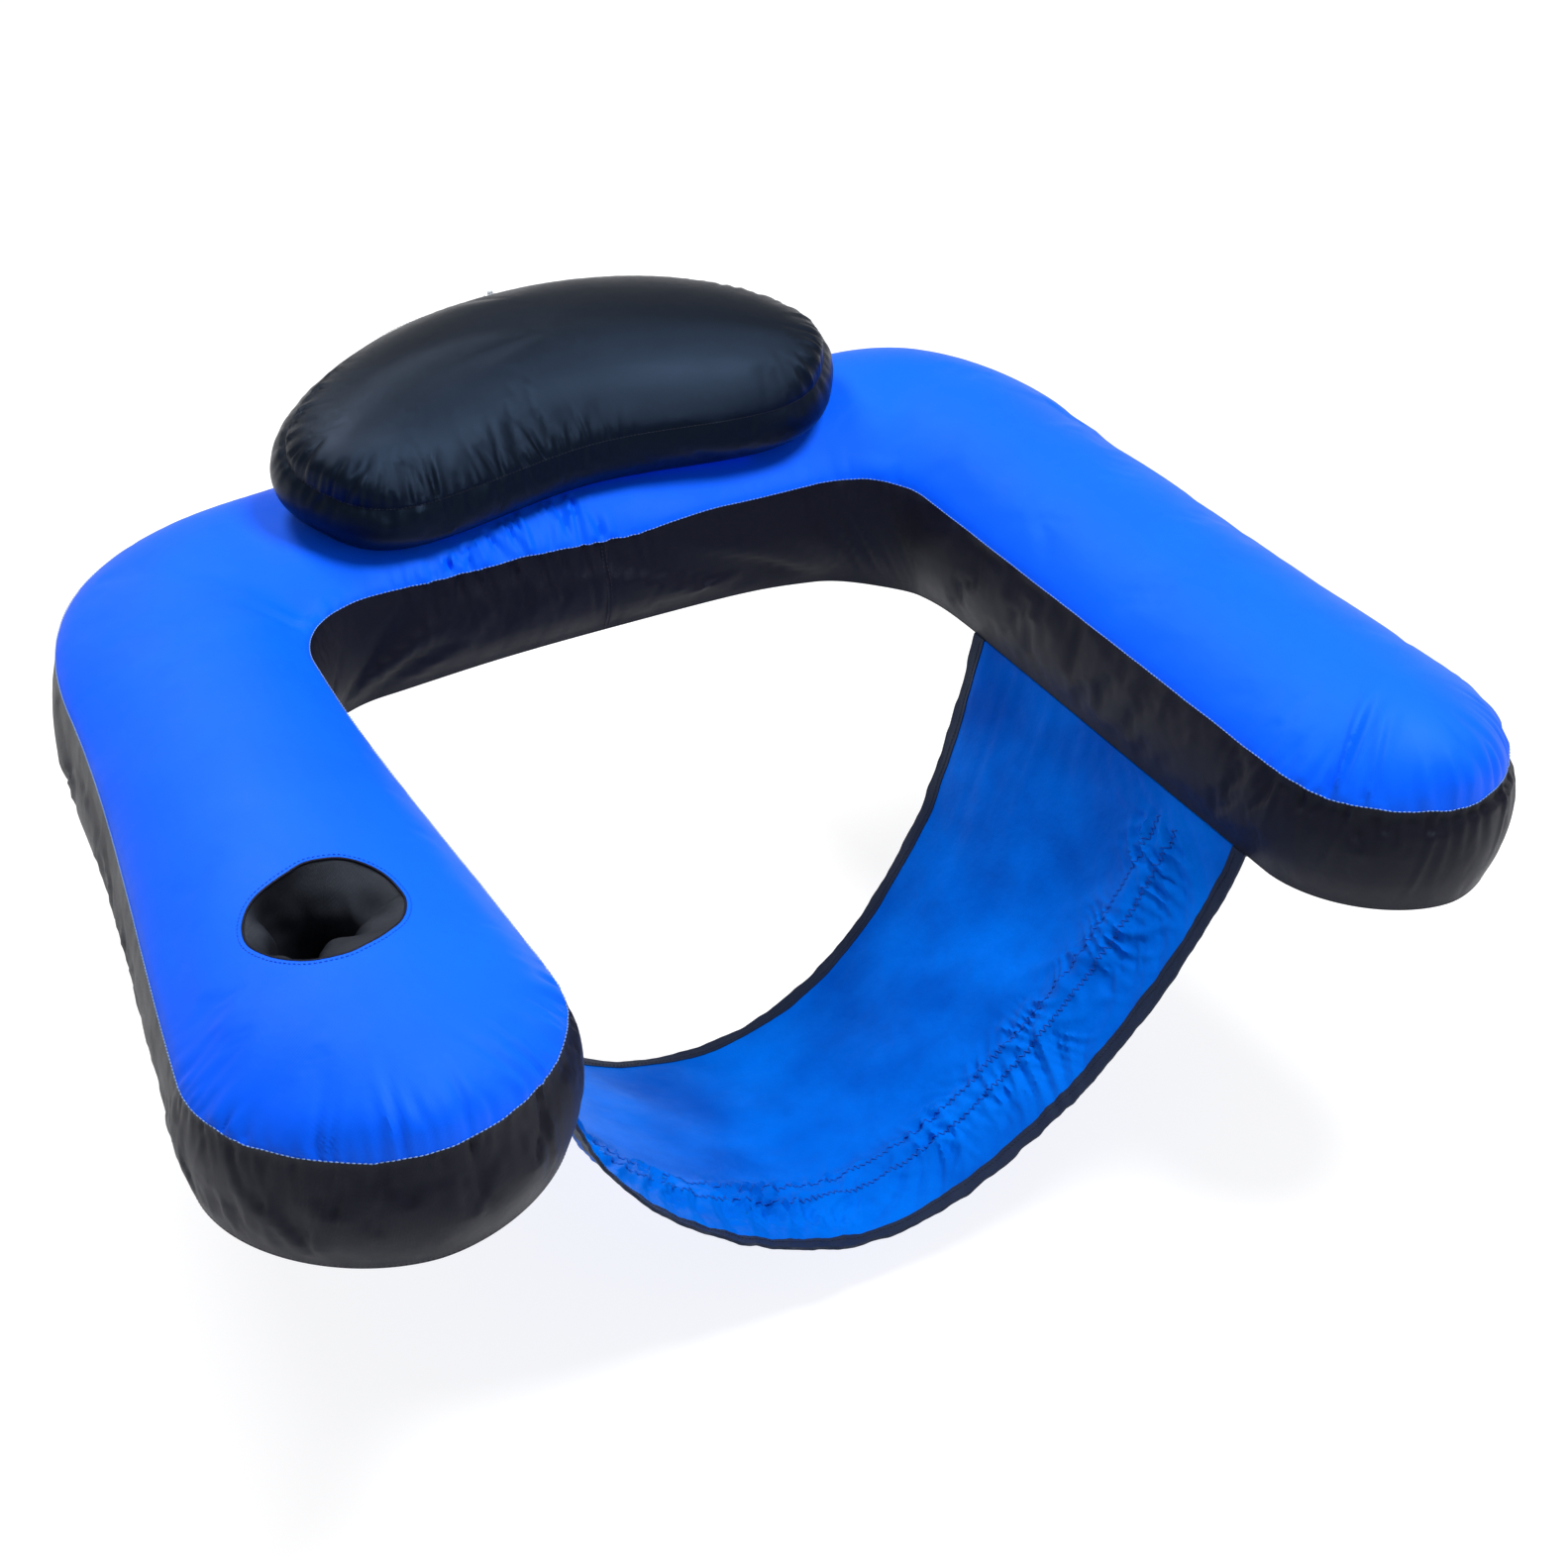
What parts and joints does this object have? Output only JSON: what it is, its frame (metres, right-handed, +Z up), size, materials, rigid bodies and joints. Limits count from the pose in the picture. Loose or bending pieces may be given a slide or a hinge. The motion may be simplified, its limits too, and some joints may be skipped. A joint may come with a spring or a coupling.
{
  "type": "inflatable pool float",
  "caption": "U-shaped fabric-covered inflatable pool float with armrests, a head pillow, a cup pocket in one arm and a seat that hangs between the arms.",
  "frame": {"origin": "under the middle of the back tube, on the flat underside", "axes": "+X across the float, away from the arm with the cup pocket; +Y towards the closed back of the U, so both arms point to -Y; +Z up"},
  "size_m": [0.9933, 0.841, 0.5356],
  "materials": {
    "blue_nylon": "bright royal blue plain-weave nylon, matte satin",
    "navy_nylon": "navy-black plain-weave nylon, matte satin",
    "black_satin": "black satin-finish nylon",
    "seat_nylon": "shiny royal blue coated nylon",
    "vinyl": "translucent grey vinyl film",
    "clear_vinyl": "soft clear vinyl",
    "zip_tape": "black woven zipper tape",
    "zip_plastic": "black moulded nylon",
    "zip_metal": "plated zinc",
    "elastic": "black woven elastic"
  },
  "bodies": {
    "float": {"top_panel": "blue_nylon", "left_gusset": "navy_nylon", "right_gusset": "navy_nylon", "rear_gusset_upper": "navy_nylon", "rear_gusset_lower": "navy_nylon", "bottom_panel": "navy_nylon", "main_bladder": "vinyl", "zipper_tape_upper": "zip_tape", "zipper_tape_lower": "zip_tape", "zipper_coil_upper": "zip_plastic", "zipper_coil_lower": "zip_plastic", "zipper_stop_left": "zip_metal", "zipper_stop_right": "zip_metal", "main_valve_stem": "clear_vinyl", "main_valve_flap": "clear_vinyl", "main_valve_grommet": "zip_plastic", "cup_sleeve": "black_satin", "cup_floor": "black_satin", "cup_rim_binding": "black_satin", "seat_panel": "seat_nylon", "seat_rear_binding": "navy_nylon", "seat_front_binding": "navy_nylon", "seat_elastic_band": "elastic", "seat_left_hem": "navy_nylon", "seat_right_hem": "navy_nylon", "pillow_sewn_strip": "blue_nylon"},
    "zipper_slider": {"zipper_slider": "zip_metal"},
    "zipper_pull": {"zipper_pull": "zip_metal"},
    "main_valve_cap": {"main_valve_cap": "clear_vinyl"},
    "pillow": {"pillow_top_panel": "black_satin", "pillow_gusset": "black_satin", "pillow_bottom_panel": "black_satin", "pillow_bladder": "vinyl", "pillow_valve_stem": "clear_vinyl", "pillow_valve_flap": "clear_vinyl", "pillow_valve_grommet": "zip_plastic"},
    "pillow_valve_cap": {"pillow_valve_cap": "clear_vinyl"}
  },
  "joints": [
    {"name": "zipper_slide", "type": "slide", "parent": "float", "child": "zipper_slider", "axis": [-1, 0, 0], "range_m": [0, 0.28]},
    {"name": "zipper_pull_hinge", "type": "hinge", "parent": "zipper_slider", "child": "zipper_pull", "pos_m": [0.108, 0.1048, 0.0432], "axis": [0, 0, -1], "range_deg": [0, 165]},
    {"name": "main_valve_cap_hinge", "type": "hinge", "parent": "float", "child": "main_valve_cap", "pos_m": [0.16, 0.10665, 0.0307], "axis": [-1, 0, 0], "range_deg": [0, 150]},
    {"name": "pillow_hinge", "type": "hinge", "parent": "float", "child": "pillow", "pos_m": [0.00593, -0.07334, 0.11212], "axis": [0.9996, 0, 0.0297], "range_deg": [0, 60]},
    {"name": "pillow_valve_cap_hinge", "type": "hinge", "parent": "pillow", "child": "pillow_valve_cap", "pos_m": [0.00377, 0.13172, 0.18484], "axis": [-0.9996, 0, -0.0297], "range_deg": [0, 150]}
  ]
}
